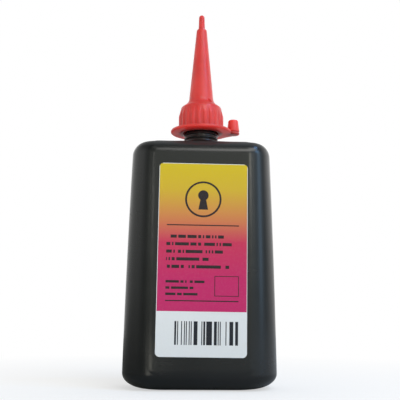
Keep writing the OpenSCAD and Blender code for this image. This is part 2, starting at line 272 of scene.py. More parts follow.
# Each row is a radius and a level, and the points of the profile as offsets from them: the groove under the
# collar, its lower bead, the gap, and its upper bead with the step to the thread's core
for from_r, from_z, offsets in (
        (NECK_R, COLLAR_Z, ((0, -0.42), (-0.05, -0.36), (-0.25, -0.32),
                            (-0.3, -0.26), (-0.3, -0.1), (-0.25, -0.05))),
        (COLLAR_R, COLLAR_Z, ((-0.1, 0), (0, 0.12), (0, 0.6), (-0.1, 0.72))),
        (THREAD_CORE_R, COLLAR_Z, ((0.1, 0.76), (0, 0.84), (0, 1.36), (0.1, 1.44))),
        (COLLAR_R, COLLAR_Z, ((-0.1, 1.48), (0, 1.58))),
        (COLLAR_R, STOP_TOP, ((0, -0.2), (-0.06, -0.06), (-0.2, 0))),
        (THREAD_CORE_R, STOP_TOP, ((0.1, 0), (0, 0.1)))):
    neck_profile += [(from_r + dr, from_z + dz) for dr, dz in offsets]
for r, z in neck_profile:
    bottle_rings.append(at_level(circle(r), z))
for i in range(1, THREAD_RINGS):
    z = lerp(STOP_TOP + 0.1, NECK_TOP - MOUTH_EDGE, i / THREAD_RINGS)
    ring = []
    for k in range(SIDES):
        angle = math.tau * k / SIDES - math.pi / 2
        r = THREAD_CORE_R + THREAD_HEIGHT * helix_ridge(angle, z, THREAD_Z, THREAD_TURNS, THREAD_W)
        ring.append((r * math.cos(angle), r * math.sin(angle), z))
    bottle_rings.append(ring)
for r, z in ((THREAD_CORE_R, NECK_TOP - MOUTH_EDGE), (THREAD_CORE_R - 0.1, NECK_TOP - 0.08),
             (THREAD_CORE_R - 0.25, NECK_TOP), (NECK_BORE_R + 0.1, NECK_TOP), (NECK_BORE_R, NECK_TOP - 0.1),
             (NECK_BORE_R, NECK_Z), (NECK_BORE_R + 0.2, BODY_H - WALL + 0.1)):
    bottle_rings.append(at_level(circle(r), z))
inner_steps = range(INNER_EDGE_STEPS, -1, -1)
bottle_rings += [shoulder_level(i, INNER_EDGE_STEPS, WALL) for i in inner_steps]
for z in INNER_LEVELS:
    bottle_rings.append(at_level(body_outline(z, WALL, WALL, WALL, half_d(z) - WALL), z))
bottle_rings += [base_level(i, INNER_EDGE_STEPS, WALL, PUSH_UP + WALL) for i in inner_steps]
bottle = loft("bottle_shell", bottle_rings, sharp=40)


def wire(tree, socket, value):
    """Links an output to an input, or sets the input to a plain value."""
    if isinstance(value, bpy.types.NodeSocket):
        tree.links.new(value, socket)
    else:
        socket.default_value = value


def put(tree, kind, settings=None, **inputs):
    """Adds a node with its settings and inputs. An input's name has _ in place of a space."""
    made = tree.nodes.new("ShaderNode" + kind)
    for name, value in (settings or {}).items():
        setattr(made, name, value)
    for name, value in inputs.items():
        wire(tree, made.inputs[name.replace("_", " ")], value)
    return made


def calc(tree, operation, *values):
    """Adds a sum or other step on plain values and returns its output."""
    made = tree.nodes.new("ShaderNodeMath")
    made.operation = operation
    for socket, value in zip(made.inputs, values):
        wire(tree, socket, value)
    return made.outputs[0]


def blend(tree, share, low, high):
    """Adds a mix of two colours and returns its output."""
    made = tree.nodes.new("ShaderNodeMix")
    made.data_type = "RGBA"
    colours = [s for s in made.inputs if s.type == "RGBA"]
    wire(tree, made.inputs[0], share)
    wire(tree, colours[0], low)
    wire(tree, colours[1], high)
    return [s for s in made.outputs if s.type == "RGBA"][0]


def spread(tree, value, low, high, start=0.0, end=1.0):
    """Adds a clamped change of range and returns its output."""
    made = put(tree, "MapRange", Value=value, From_Min=start, From_Max=end, To_Min=low, To_Max=high)
    return made.outputs["Result"]


def finish_of(name):
    """New material with its node tree and its shader."""
    made = bpy.data.materials.new(name)
    made.use_nodes = True
    return made, made.node_tree, made.node_tree.nodes["Principled BSDF"]


# Skin that a mould gives to polyethylene: a fine grain, slow waves of the cooled wall and a few handling
# scuffs. The black and the red plastics share it.
moulded_skin = bpy.data.node_groups.new("moulded_skin", "ShaderNodeTree")
for side, names in (("INPUT", ("Grain Scale", "Wave Scale", "Scuff Scale")),
                    ("OUTPUT", ("Tone", "Scuffs", "Height"))):
    for name in names:
        moulded_skin.interface.new_socket(name, in_out=side, socket_type="NodeSocketFloat")
skin_in = moulded_skin.nodes.new("NodeGroupInput")
skin_out = moulded_skin.nodes.new("NodeGroupOutput")
skin_place = put(moulded_skin, "TexCoord").outputs["Object"]
grain = put(moulded_skin, "TexNoise", Vector=skin_place, Scale=skin_in.outputs["Grain Scale"], Detail=3.0,
            Roughness=0.6)
waves = put(moulded_skin, "TexNoise", Vector=skin_place, Scale=skin_in.outputs["Wave Scale"], Detail=2.0)
tilted = put(moulded_skin, "Mapping", Vector=skin_place, Rotation=(0.25, 0.55, 0.35), Scale=(0.12, 1.0, 1.6))
scratch = put(moulded_skin, "TexNoise", Vector=tilted.outputs[0], Scale=skin_in.outputs["Scuff Scale"],
              Detail=4.0)
patches = spread(moulded_skin, waves.outputs[0], 0.0, 1.0, 0.5, 0.7)
lines = spread(moulded_skin, scratch.outputs[0], 0.0, 1.0, 0.62, 0.72)
wire(moulded_skin, skin_out.inputs["Tone"], spread(moulded_skin, waves.outputs[0], 0.0, 1.0, 0.3, 0.7))
wire(moulded_skin, skin_out.inputs["Scuffs"], calc(moulded_skin, "MULTIPLY", patches, lines))
wire(moulded_skin, skin_out.inputs["Height"],
     calc(moulded_skin, "MULTIPLY_ADD", waves.outputs[0], 4.0, grain.outputs[0]))
SCUFF_SCALE = 260.0


def moulded_plastic(name, dark, light, roughness, grain_scale, wave_scale, bump):
    """Polyethylene with the moulded skin: two close tones, uneven gloss and a fine relief."""
    made, tree, shader = finish_of(name)
    skin = tree.nodes.new("ShaderNodeGroup")
    skin.node_tree = moulded_skin
    skin.inputs["Grain Scale"].default_value = grain_scale
    skin.inputs["Wave Scale"].default_value = wave_scale
    skin.inputs["Scuff Scale"].default_value = SCUFF_SCALE
    toned = blend(tree, skin.outputs["Tone"], dark, light)
    wire(tree, shader.inputs["Base Color"], toned)
    uneven = spread(tree, skin.outputs["Tone"], roughness - 0.03, roughness + 0.03)
    wire(tree, shader.inputs["Roughness"], calc(tree, "MULTIPLY_ADD", skin.outputs["Scuffs"], 0.15, uneven))
    relief = put(tree, "Bump", Strength=bump, Distance=0.0001, Height=skin.outputs["Height"])
    wire(tree, shader.inputs["Normal"], relief.outputs[0])
    return made, shader


BLACK_DARK, BLACK_LIGHT = (0.0045, 0.005, 0.0046, 1), (0.0065, 0.007, 0.0066, 1)
black_plastic, shader = moulded_plastic("black_polyethylene", BLACK_DARK, BLACK_LIGHT, roughness=0.25,
                                        grain_scale=2600.0, wave_scale=55.0, bump=0.1)
# Painted sheen: faces that look up get a lighter grey base colour, standing in for the shoulder's reflection
# of a bright room, and a rougher gloss
UPWARD_SHEEN, UPWARD_SHEEN_ROUGHNESS, UPWARD_SHEEN_FROM, UPWARD_SHEEN_FULL = (0.032, 0.032, 0.03, 1), 0.3, 0.5, 0.95
tree = black_plastic.node_tree
facing = put(tree, "SeparateXYZ", Vector=put(tree, "NewGeometry").outputs["Normal"])
upward_sheen = spread(tree, facing.outputs["Z"], 0.0, 1.0, UPWARD_SHEEN_FROM, UPWARD_SHEEN_FULL)
bare, gloss = (shader.inputs[name].links[0].from_socket for name in ("Base Color", "Roughness"))
wire(tree, shader.inputs["Base Color"], blend(tree, upward_sheen, bare, UPWARD_SHEEN))
wire(tree, shader.inputs["Roughness"], calc(tree, "MULTIPLY_ADD", upward_sheen, UPWARD_SHEEN_ROUGHNESS, gloss))
bottle.data.materials.append(black_plastic)
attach(bottle, "bottle")
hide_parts("bottle")

# Graphite powder: fine flakes poured through the neck, which settle with a level but lumpy top and cling
# to the inside of the shell.
POWDER_LEVEL, SKIN_GAP = 62.0, 0.1
POWDER_DIP, POWDER_CROWN, LUMP_H, LUMP_SCALE, TOP_RINGS = 1.2, 0.7, 0.5, 0.16, 20
POWDER_LEVELS = (15, 30, 45, 55, POWDER_LEVEL - 2)
powder_in = WALL + SKIN_GAP
powder_rings = [base_level(i, INNER_EDGE_STEPS, powder_in, PUSH_UP + powder_in) for i in reversed(inner_steps)]
for z in POWDER_LEVELS:
    powder_rings.append(at_level(body_outline(z, powder_in, powder_in, powder_in, half_d(z) - powder_in), z))
surface = powder_rings[-1]
for i in range(TOP_RINGS):
    share = 1 - i / TOP_RINGS
    ring = []
    for x, y, z in surface:
        lump = noise.fractal(Vector((x * share * LUMP_SCALE, y * share * LUMP_SCALE, 3.1)), 0.9, 2.1, 4)
        crown = POWDER_LEVEL - POWDER_DIP + POWDER_CROWN * (1 - share ** 4)
        ring.append((x * share, y * share, crown + LUMP_H * lump * smooth((1 - share) * 12)))
    powder_rings.append(ring)
powder_rings.append([(0, 0, POWDER_LEVEL - POWDER_DIP + POWDER_CROWN)])
powder = loft("graphite_fill", powder_rings)
graphite, tree, shader = finish_of("graphite_powder")
place = put(tree, "TexCoord").outputs["Object"]
flakes = put(tree, "TexVoronoi", Vector=place, Scale=2400.0)
clumps = put(tree, "TexNoise", Vector=place, Scale=300.0, Detail=6.0)
glint = spread(tree, flakes.outputs["Distance"], 1.0, 0.0, 0.05, 0.25)
GRAPHITE_DARK, GRAPHITE_LIGHT = (0.02, 0.02, 0.022, 1), (0.075, 0.075, 0.08, 1)
wire(tree, shader.inputs["Base Color"], blend(tree, clumps.outputs[0], GRAPHITE_DARK, GRAPHITE_LIGHT))
wire(tree, shader.inputs["Metallic"], calc(tree, "MULTIPLY", glint, 0.7))
wire(tree, shader.inputs["Roughness"], spread(tree, glint, 0.85, 0.4))
relief = put(tree, "Bump", Strength=0.5, Distance=0.0002, Height=clumps.outputs[0])
wire(tree, shader.inputs["Normal"], relief.outputs[0])
powder.data.materials.append(graphite)
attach(powder, "bottle")
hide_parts("graphite_powder")

# Label: die-cut from white self-adhesive paper, printed in a blend from yellow through pink to magenta
# over a white foot, varnished, and rolled on the front panel by machine a little out of true.
LABEL_W, LABEL_H, LABEL_LOW = 32.2, 69.2, 11.7
LABEL_SHIFT, LABEL_TILT = 0.3, 0.5
LABEL_CORNER_R, LABEL_T, LABEL_GAP = 1.6, 0.1, 0.02
LABEL_COLUMNS, LABEL_ROWS, CORNER_ROWS = 40, 84, 10
LIFT_H, LIFT_FROM, LIFT_RUN = 0.1, 0.88, 0.12
front_lean = math.atan((BODY_D - SHOULDER_D) / 2 / BODY_H)
on_front = Matrix.Translation((0, -BODY_D / 2, 0)) @ Matrix.Rotation(math.radians(90) - front_lean, 4, "X")
label_place = (on_front @ Matrix.Translation((LABEL_SHIFT, LABEL_LOW + LABEL_H / 2, LABEL_GAP))
               @ Matrix.Rotation(math.radians(-LABEL_TILT), 4, "Z"))


def label_row(v):
    """Half width of the label at one height from its middle, narrowed by its round corners."""
    past = max(0.0, abs(v) - LABEL_H / 2 + LABEL_CORNER_R)
    return LABEL_W / 2 - LABEL_CORNER_R + math.sqrt(max(0.0, LABEL_CORNER_R ** 2 - past ** 2))


levels = [LABEL_H / 2 - LABEL_CORNER_R * (1 - math.sin(math.radians(90 * i / CORNER_ROWS)))
          for i in range(CORNER_ROWS, 0, -1)]
levels = levels + [lerp(LABEL_H / 2 - LABEL_CORNER_R, -LABEL_H / 2 + LABEL_CORNER_R, i / LABEL_ROWS)
                   for i in range(LABEL_ROWS + 1)] + [-v for v in reversed(levels)]
verts, faces, spots = [], [], []
for height in (LABEL_T, 0.0):
    for v in levels:
        for i in range(LABEL_COLUMNS + 1):
            u = label_row(v) * (2 * i / LABEL_COLUMNS - 1)
            lift = LIFT_H * smooth((u / LABEL_W + v / LABEL_H - LIFT_FROM) / LIFT_RUN) if height else 0.0
            spots.append((u / LABEL_W + 0.5, v / LABEL_H + 0.5))
            verts.append(label_place @ Vector((u, v, height + lift)) * MM)
width, count = LABEL_COLUMNS + 1, (LABEL_COLUMNS + 1) * len(levels)
last = len(levels) - 1
for row in range(last):
    for i in range(LABEL_COLUMNS):
        k = row * width + i
        faces.append((k, k + width, k + width + 1, k + 1))
        faces.append((k + count, k + count + 1, k + count + width + 1, k + count + width))
edge = list(range(width)) + [row * width + width - 1 for row in range(1, last + 1)]
edge += [last * width + i for i in range(width - 2, -1, -1)] + [row * width for row in range(last - 1, 0, -1)]
for a, b in zip(edge, edge[1:] + edge[:1]):
    faces.append((a, b, b + count, a + count))
mesh = bpy.data.meshes.new("front_label")
mesh.from_pydata(verts, [], faces)
mesh.validate()
layer = mesh.uv_layers.new(name="print")
for loop in mesh.loops:
    layer.data[loop.index].uv = spots[loop.vertex_index]
mesh.shade_smooth()
mesh.set_sharp_from_angle(angle=math.radians(30))
label = bpy.data.objects.new("front_label", mesh)
bpy.context.scene.collection.objects.link(label)

printed, tree, shader = finish_of("printed_label")
across = put(tree, "SeparateXYZ", Vector=put(tree, "UVMap", {"uv_map": "print"}).outputs[0])
label_x = calc(tree, "MULTIPLY", calc(tree, "SUBTRACT", across.outputs[0], 0.5), LABEL_W)
label_y = calc(tree, "MULTIPLY", across.outputs[1], LABEL_H)


def within(value, low, high):
    """Mask of the band between two values."""
    off = calc(tree, "ABSOLUTE", calc(tree, "SUBTRACT", value, (low + high) / 2))
    return calc(tree, "LESS_THAN", off, (high - low) / 2)


def both(*masks):
    shared = masks[0]
    for mask in masks[1:]:
        shared = calc(tree, "MULTIPLY", shared, mask)
    return shared


def either(*masks):
    joined = masks[0]
    for mask in masks[1:]:
        joined = calc(tree, "MAXIMUM", joined, mask)
    return joined


DASH_W, GAP_SHARE, SHORTEST_LINE = 0.55, 0.2, 0.62


def lines_of_type(left, right, low, high, pitch, share, seed):
    """Rows of plain dashes of uneven length that stand in for small print."""
    row = calc(tree, "DIVIDE", calc(tree, "SUBTRACT", label_y, low), pitch)
    index = calc(tree, "FLOOR", row)
    inked = calc(tree, "LESS_THAN", calc(tree, "FRACT", row), share)
    drawn = calc(tree, "ADD", index, seed)
    length = put(tree, "TexWhiteNoise", {"noise_dimensions": "1D"}, W=drawn).outputs["Value"]
    end = spread(tree, length, lerp(left, right, SHORTEST_LINE), right)
    cell = calc(tree, "FLOOR", calc(tree, "DIVIDE", label_x, DASH_W))
    spot = put(tree, "CombineXYZ", X=cell, Y=drawn).outputs[0]
    gap = put(tree, "TexWhiteNoise", {"noise_dimensions": "2D"}, Vector=spot).outputs["Value"]
    return both(within(label_y, low, high), inked, calc(tree, "GREATER_THAN", label_x, left),
                calc(tree, "LESS_THAN", label_x, end), calc(tree, "GREATER_THAN", gap, GAP_SHARE))


def round_mark(x, y, r):
    """Mask of a disc."""
    dx, dy = calc(tree, "SUBTRACT", label_x, x), calc(tree, "SUBTRACT", label_y, y)
    square = calc(tree, "ADD", calc(tree, "POWER", dx, 2.0), calc(tree, "POWER", dy, 2.0))
    return calc(tree, "LESS_THAN", calc(tree, "SQRT", square), r)


WHITE_FOOT = 15.8
blend_band = put(tree, "ValToRGB", Fac=spread(tree, label_y, 0.0, 1.0, WHITE_FOOT, LABEL_H))
blend_band.color_ramp.elements[0].color = (0.48, 0.015, 0.112, 1)
blend_band.color_ramp.elements[1].color = (0.59, 0.43, 0.008, 1)
for stop, colour in ((0.2, (0.48, 0.015, 0.108, 1)), (0.46, (0.515, 0.027, 0.08, 1)),
                     (0.66, (0.56, 0.22, 0.053, 1)), (0.82, (0.57, 0.37, 0.022, 1))):
    blend_band.color_ramp.elements.new(stop).color = colour
PAPER_WHITE, PAPER_FIBRE = (0.675, 0.675, 0.665, 1), (0.3, 0.28, 0.27, 1)
INK, BAR_INK = (0.02, 0.013, 0.014, 1), (0.012, 0.014, 0.02, 1)
KEY_Y, KEY_FOOT, KEY_R, KEY_TOP_HALF, KEY_FOOT_HALF = 57.4, 52.2, 1.9, 0.75, 1.75
RING_MARK_Y, RING_MARK_R, RING_MARK_IN = 56.0, 6.6, 5.9
PRINT_LEFT, PRINT_RIGHT, RULES, CUT_EDGE = -13.0, 13.1, ((46.3, 46.7), (19.3, 19.7)), 0.18
FRAME_LEFT, FRAME_LOW, FRAME_HIGH, FRAME_LINE = 4.4, 21.2, 28.4, 0.25
BAR_LEFT, BAR_LOW, BAR_HIGH, BAR_W, BAR_SHARE = -9.5, 4.2, 12.4, 0.34, 0.47
key_half = spread(tree, label_y, KEY_FOOT_HALF, KEY_TOP_HALF, KEY_FOOT, KEY_Y)
keyhole = either(round_mark(0.0, KEY_Y, KEY_R),
                 both(within(label_y, KEY_FOOT, KEY_Y),
                      calc(tree, "LESS_THAN", calc(tree, "ABSOLUTE", label_x), key_half)))
ring_mark = calc(tree, "SUBTRACT", *(round_mark(0.0, RING_MARK_Y, r) for r in (RING_MARK_R, RING_MARK_IN)))
rules = both(within(label_x, PRINT_LEFT, -PRINT_LEFT), either(*(within(label_y, *rule) for rule in RULES)))
small_print = either(lines_of_type(PRINT_LEFT, 11.5, 31.0, 44.5, pitch=2.7, share=0.42, seed=3.0),
                     lines_of_type(PRINT_LEFT, 2.0, 21.4, 28.0, pitch=2.2, share=0.4, seed=11.0))
frame_boxes = [both(within(label_x, FRAME_LEFT + inset, PRINT_RIGHT - inset),
                    within(label_y, FRAME_LOW + inset, FRAME_HIGH - inset)) for inset in (0.0, FRAME_LINE)]
frame_mark = calc(tree, "SUBTRACT", *frame_boxes)
bar_cell = calc(tree, "FLOOR", calc(tree, "DIVIDE", label_x, BAR_W))
bar_noise = put(tree, "TexWhiteNoise", {"noise_dimensions": "1D"}, W=bar_cell).outputs["Value"]
bars = both(calc(tree, "GREATER_THAN", bar_noise, BAR_SHARE), within(label_x, BAR_LEFT, PRINT_RIGHT),
            within(label_y, BAR_LOW, BAR_HIGH))
inked = either(keyhole, ring_mark, rules, small_print, frame_mark)
upper = calc(tree, "GREATER_THAN", label_y, WHITE_FOOT)
edge_x = calc(tree, "SUBTRACT", LABEL_W / 2, calc(tree, "ABSOLUTE", label_x))
off_middle = calc(tree, "ABSOLUTE", calc(tree, "SUBTRACT", label_y, LABEL_H / 2))
edge_y = calc(tree, "SUBTRACT", LABEL_H / 2, off_middle)
cut_edge = calc(tree, "GREATER_THAN", calc(tree, "MINIMUM", edge_x, edge_y), CUT_EDGE)
fibre = put(tree, "TexNoise", Vector=put(tree, "TexCoord").outputs["Object"], Scale=1800.0, Detail=4.0)
coloured = blend(tree, both(upper, cut_edge), PAPER_WHITE, blend_band.outputs[0])
lettered = blend(tree, both(upper, inked), coloured, INK)
barred = blend(tree, bars, lettered, BAR_INK)
wire(tree, shader.inputs["Base Color"],
     blend(tree, spread(tree, fibre.outputs[0], 0.0, 0.06, 0.45, 0.8), barred, PAPER_FIBRE))
wire(tree, shader.inputs["Roughness"], spread(tree, fibre.outputs[0], 0.36, 0.48, 0.3, 0.7))
shader.inputs["Specular IOR Level"].default_value = 0.25
relief = put(tree, "Bump", Strength=0.04, Distance=0.00005, Height=fibre.outputs[0])
wire(tree, shader.inputs["Normal"], relief.outputs[0])
label.data.materials.append(printed)
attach(label, "bottle")
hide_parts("label")

# Spout: injection-moulded in one piece from red low-density polyethylene, with a ribbed screw skirt, a
# groove for the keeper ring, a sealing plug, and a long cone whose closed nipple the user cuts off. The
# gate left a small dimple beside the foot of the cone.
RUN_GAP = 0.08
FOOT_Z, FOOT_EDGE_Z = COLLAR_TOP + 0.3, COLLAR_TOP + 0.9
SKIRT_BORE_R, SKIRT_R, RIB_TOP_R = 6.95, 7.9, 8.65
RIB_COUNT, RIB_R, RIB_LIFT, RIB_LEAN, VALLEY_FILL = 22, 0.85, 0.25, 0.26, 0.3
FOOT_BEAD_R, FOOT_BEAD_H, GROOVE_R = 8.25, 0.7, 7.55
GROOVE_Z = FOOT_Z + FOOT_BEAD_H
RING_T = 1.1
RING_Z = GROOVE_Z + RUN_GAP
RING_TOP = RING_Z + RING_T
SKIRT_Z = RING_TOP + RUN_GAP
ROOF_Z = NECK_TOP + RUN_GAP
SKIRT_ROUND = 1.2
SKIRT_EDGE_Z = ROOF_Z - 0.6
CONE_BASE_R, CONE_TOP_R, CONE_H, CONE_FILLET, CONE_WALL = 4.7, 2.0, 28.3, 2.0, 1.05
CONE_LEAN = math.atan((CONE_BASE_R - CONE_TOP_R) / CONE_H)
CONE_Z = (SKIRT_EDGE_Z + SKIRT_R - SKIRT_ROUND + SKIRT_ROUND * math.sqrt(2) - CONE_BASE_R
          + CONE_FILLET * (math.sqrt(2) - math.sin(CONE_LEAN) - math.cos(CONE_LEAN)))
CONE_TOP = CONE_Z + CONE_H
NIPPLE_R, NIPPLE_END_R, NIPPLE_H, STEP_H, NIPPLE_WALL = 1.25, 1.1, 6.5, 0.8, 0.5
TIP_Z = CONE_TOP + NIPPLE_H
PLUG_R, PLUG_H, PLUG_WALL = NECK_BORE_R - RUN_GAP, 3.2, 1.0
PLUG_Z = ROOF_Z - PLUG_H
DOME_EDGE_Z, DOME_ROUND, DOME_SLOPE, DOME_FILLET = ROOF_Z - 0.48, 1.1, math.radians(36), 1.8
GATE_ANGLE, GATE_Z, GATE_R, GATE_DEPTH, GATE_LIP = math.radians(-54), 107.6, 0.85, 0.8, 0.16
INNER_TURNS, INNER_THREAD_W, GATE_START = 2.0, 1.1, CONE_Z + 1.6
SPOUT_SIDES = RIB_COUNT * 16
NIPPLE_STEPS, CONE_STEPS, GATE_STEPS = 5, 24, 13
FILLET_STEPS, RIB_STEPS, BORE_STEPS = 20, 32, 55
INNER_THREAD_R = 6.3


def spout_ring(r, z, ribs=False, gate=False, thread=False):
    """One ring of the spout, with its grip ribs, its gate mark or its inner thread where asked."""
    ring = []
    for k in range(SPOUT_SIDES):
        angle = math.tau * k / SPOUT_SIDES - math.pi / 2
        here = r
        if ribs:
            pitch = math.tau / RIB_COUNT
            off = r * abs((angle + pitch / 2) % pitch - pitch / 2)
            back = RIB_TOP_R - RIB_R + math.sqrt(max(0.0, RIB_R ** 2 - off ** 2))
            here = max(r, min(back, SKIRT_R + (DOME_EDGE_Z - z) * RIB_LEAN))
        if gate:
            turned = (angle - GATE_ANGLE + math.pi) % math.tau - math.pi
            off = math.hypot(turned * r, z - GATE_Z) / GATE_R
            here += GATE_LIP * math.exp(-((off - 1.25) * 3) ** 2) - GATE_DEPTH * math.exp(-(off * 1.3) ** 4)
        if thread:
            ridge = helix_ridge(angle, z, THREAD_Z + THREAD_PITCH / 2, INNER_TURNS, INNER_THREAD_W)
            here -= (r - INNER_THREAD_R) * ridge
        ring.append((here * math.cos(angle), here * math.sin(angle), z))
    return ring


spout_rings = [[(0, 0, TIP_Z)]]
for r, z in arc(0, TIP_Z - NIPPLE_END_R, NIPPLE_END_R, 80, 0, 8):
    spout_rings.append(spout_ring(r, z))
nipple_foot = CONE_TOP + STEP_H
for i in range(1, NIPPLE_STEPS + 1):
    z = lerp(TIP_Z - NIPPLE_END_R, nipple_foot + 0.25, i / NIPPLE_STEPS)
    spout_rings.append(spout_ring(lerp(NIPPLE_END_R, NIPPLE_R, i / NIPPLE_STEPS), z))
for r, z in ((NIPPLE_R + 0.03, nipple_foot + 0.08), (NIPPLE_R + 0.12, nipple_foot - 0.08),
             (CONE_TOP_R - 0.2, CONE_TOP + 0.26), (CONE_TOP_R - 0.07, CONE_TOP + 0.1),
             (CONE_TOP_R, CONE_TOP - 0.08)):
    spout_rings.append(spout_ring(r, z))
for i in range(1, CONE_STEPS + 1):
    z = lerp(CONE_TOP, GATE_START, i / CONE_STEPS)
    spout_rings.append(spout_ring(lerp(CONE_TOP_R, CONE_BASE_R, (CONE_TOP - z) / CONE_H), z))
dome_r = SKIRT_R - DOME_ROUND * (1 - math.sin(DOME_SLOPE))
dome_z = DOME_EDGE_Z + DOME_ROUND * math.cos(DOME_SLOPE)
dome_run, cone_run = 1 / math.tan(DOME_SLOPE), math.tan(CONE_LEAN)
meet_z = (dome_r + dome_z * dome_run - CONE_BASE_R - CONE_Z * cone_run) / (dome_run - cone_run)
meet = Vector((CONE_BASE_R + (CONE_Z - meet_z) * cone_run, meet_z))
fillet_top = meet + DOME_FILLET * Vector((-math.sin(CONE_LEAN), math.cos(CONE_LEAN)))
fillet_end = meet + DOME_FILLET * Vector((math.cos(DOME_SLOPE), -math.sin(DOME_SLOPE)))
for i in range(1, GATE_STEPS):
    z = lerp(GATE_START, fillet_top.y, i / GATE_STEPS)
    spout_rings.append(spout_ring(CONE_BASE_R + (CONE_Z - z) * cone_run, z, gate=True))
for i in range(FILLET_STEPS + 1):
    t = i / FILLET_STEPS
    r, z = fillet_top.lerp(meet, t).lerp(meet.lerp(fillet_end, t), t)
    spout_rings.append(spout_ring(r, z, gate=True))
for r, z in arc(SKIRT_R - DOME_ROUND, DOME_EDGE_Z, DOME_ROUND, 90 - math.degrees(DOME_SLOPE), 0, 8):
    spout_rings.append(spout_ring(r, z))
rib_foot = SKIRT_Z + RIB_LIFT
for i in range(1, RIB_STEPS + 1):
    z = lerp(DOME_EDGE_Z, rib_foot + 0.12, i / RIB_STEPS)
    valley_r = SKIRT_R + min(VALLEY_FILL, (DOME_EDGE_Z - z) * RIB_LEAN / 2)
    spout_rings.append(spout_ring(valley_r, z, ribs=True))
for r, z in ((SKIRT_R, rib_foot), (SKIRT_R, SKIRT_Z + 0.06), (SKIRT_R - 0.06, SKIRT_Z), (GROOVE_R, SKIRT_Z),
             (GROOVE_R, GROOVE_Z), (FOOT_BEAD_R - 0.03, GROOVE_Z), (FOOT_BEAD_R, GROOVE_Z - 0.03),
             (FOOT_BEAD_R - 0.04, FOOT_EDGE_Z + 0.02), (FOOT_BEAD_R - 0.1, FOOT_EDGE_Z),
             (SKIRT_BORE_R + 0.1, FOOT_EDGE_Z), (SKIRT_BORE_R, FOOT_EDGE_Z + 0.1)):
    spout_rings.append(spout_ring(r, z))
for i in range(1, BORE_STEPS + 1):
    z = lerp(FOOT_EDGE_Z + 0.1, ROOF_Z - 0.2, i / BORE_STEPS)
    spout_rings.append(spout_ring(SKIRT_BORE_R, z, thread=True))
plug_bore_r, channel_r = PLUG_R - PLUG_WALL, NIPPLE_END_R - NIPPLE_WALL
for r, z in ((SKIRT_BORE_R - 0.2, ROOF_Z), (PLUG_R + 0.15, ROOF_Z), (PLUG_R, ROOF_Z - 0.15),
             (PLUG_R, PLUG_Z + 0.4), (PLUG_R - 0.3, PLUG_Z), (plug_bore_r + 0.1, PLUG_Z),
             (plug_bore_r, PLUG_Z + 0.1), (plug_bore_r, ROOF_Z), (CONE_BASE_R - CONE_WALL, CONE_Z),
             (CONE_TOP_R - CONE_WALL, CONE_TOP - STEP_H), (channel_r, CONE_TOP),
             (channel_r, TIP_Z - NIPPLE_END_R)):
    spout_rings.append(spout_ring(r, z))
spout_rings.append([(0, 0, TIP_Z - NIPPLE_END_R)])
spout = loft("red_spout", spout_rings[::-1], sharp=38)


def red_moulding(name, dark, light, depth):
    """Red polyethylene, which lets some light through its thin walls."""
    made, shader = moulded_plastic(name, dark, light, roughness=0.34, grain_scale=3800.0, wave_scale=140.0,
                                   bump=0.1)
    shader.inputs["Specular IOR Level"].default_value = 0.4
    shader.inputs["Subsurface Weight"].default_value = 0.7
    shader.inputs["Subsurface Radius"].default_value = (1.0, 0.25, 0.2)
    shader.inputs["Subsurface Scale"].default_value = depth
    return made


RED_DARK, RED_LIGHT, RED_DEPTH = (0.63, 0.04, 0.034, 1), (0.71, 0.052, 0.044, 1), 0.002
red_plastic = red_moulding("red_polyethylene", RED_DARK, RED_LIGHT, RED_DEPTH)
spout.data.materials.append(red_plastic)
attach(spout, "spout")
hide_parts("spout_cap")

# Keeper ring: a thin moulded ring that snaps in the groove of the spout and turns there. A round ear at its
# rim, stiffened by a thin web behind, carries a peg of the nipple's size that parks the tip cap.
RING_R, EAR_REACH, EAR_TURN, EAR_R = 11.7, 12.7, 6.0, 2.4
RIM_ROUND, PEG_H, PEG_ROUND = 0.45, 2.6, 0.35
RING_SIDES, EAR_SIDES, WEB_SIDES, THIN_DEPTH = 288, 96, 48, 0.012
WEB_T, WEB_ROOT_R, WEB_INSET = 0.6, 2.0, 0.1
ear_way = math.radians(EAR_TURN)
rim_profile = arc(RING_R - RIM_ROUND, RING_Z + RIM_ROUND, RIM_ROUND, -90, 0, 8)
rim_profile += arc(RING_R - RIM_ROUND, RING_TOP - RIM_ROUND, RIM_ROUND, 0, 90, 8)
hole_r = GROOVE_R + RUN_GAP
ring_profile = [(lerp(hole_r, RING_R - RIM_ROUND, i / 4), RING_Z) for i in range(4)] + rim_profile
ring_profile += [(lerp(RING_R - RIM_ROUND, hole_r, (i + 1) / 4), RING_TOP) for i in range(4)]
keeper = loft("keeper_ring_moulding", [at_level(circle(r, RING_SIDES), z) for r, z in ring_profile], wrap=True)
red_ring = red_moulding("red_polyethylene_ring", RED_DARK, RED_LIGHT, THIN_DEPTH)
keeper.data.materials.append(red_ring)
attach(keeper, "keeper")
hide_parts("keeper_ring")

ear_x, ear_y = EAR_REACH * math.cos(ear_way), EAR_REACH * math.sin(ear_way)


def turned_ring(r, z):
    """One ring of a piece turned about the ear's own upright axis."""
    return [(ear_x + x, ear_y + y, z) for x, y in circle(r, EAR_SIDES)]


ear_rings = [[(ear_x, ear_y, RING_Z)]]
ear_rings += [turned_ring(r - RING_R + EAR_R, z) for r, z in rim_profile]
peg_edge = RING_TOP + PEG_H - PEG_ROUND
ear_rings += [turned_ring(NIPPLE_R, RING_TOP), turned_ring(NIPPLE_R, peg_edge)]
ear_rings += [turned_ring(r, z) for r, z in arc(NIPPLE_R - PEG_ROUND, peg_edge, PEG_ROUND, 15, 90, 6)]
ear_rings.append([(ear_x, ear_y, RING_TOP + PEG_H)])
ear = loft("ear_and_peg", ear_rings)
ear.data.materials.append(red_ring)
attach(ear, "keeper")

